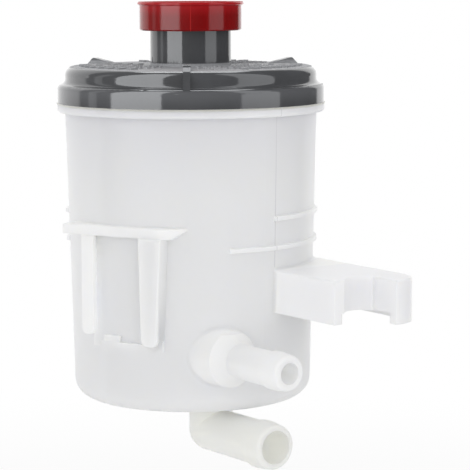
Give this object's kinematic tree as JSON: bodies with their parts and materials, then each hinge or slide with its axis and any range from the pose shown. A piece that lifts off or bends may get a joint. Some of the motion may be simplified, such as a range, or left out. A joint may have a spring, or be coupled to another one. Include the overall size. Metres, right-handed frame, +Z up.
{
  "type": "power steering reservoir",
  "caption": "Round translucent fluid tank with a welded lid and push-on filler cap, a return nipple, an outlet elbow, a slide-on bracket socket and a forked clip arm.",
  "frame": {"origin": "centre of the tank's flat underside", "axes": "+Z up along the tank's axis, +X the way the return nipple and the outlet elbow point"},
  "size_m": [0.1395, 0.1021, 0.1639],
  "materials": {
    "tank": "milky translucent natural moulding",
    "lid": "smooth dark grey moulding",
    "cap": "smooth red moulding",
    "seal": "matt black rubber",
    "strainer": "natural moulding",
    "mesh": "fine woven nylon"
  },
  "bodies": {
    "tank": {"tank_body": "tank", "tank_lid": "lid", "strainer_frame": "strainer", "strainer_mesh": "mesh"},
    "cap": {"filler_cap": "cap", "cap_seal": "seal"}
  },
  "joints": [
    {"name": "cap_lift", "type": "slide", "parent": "tank", "child": "cap", "axis": [0, 0, 1], "range_m": [0, 0.03]}
  ]
}
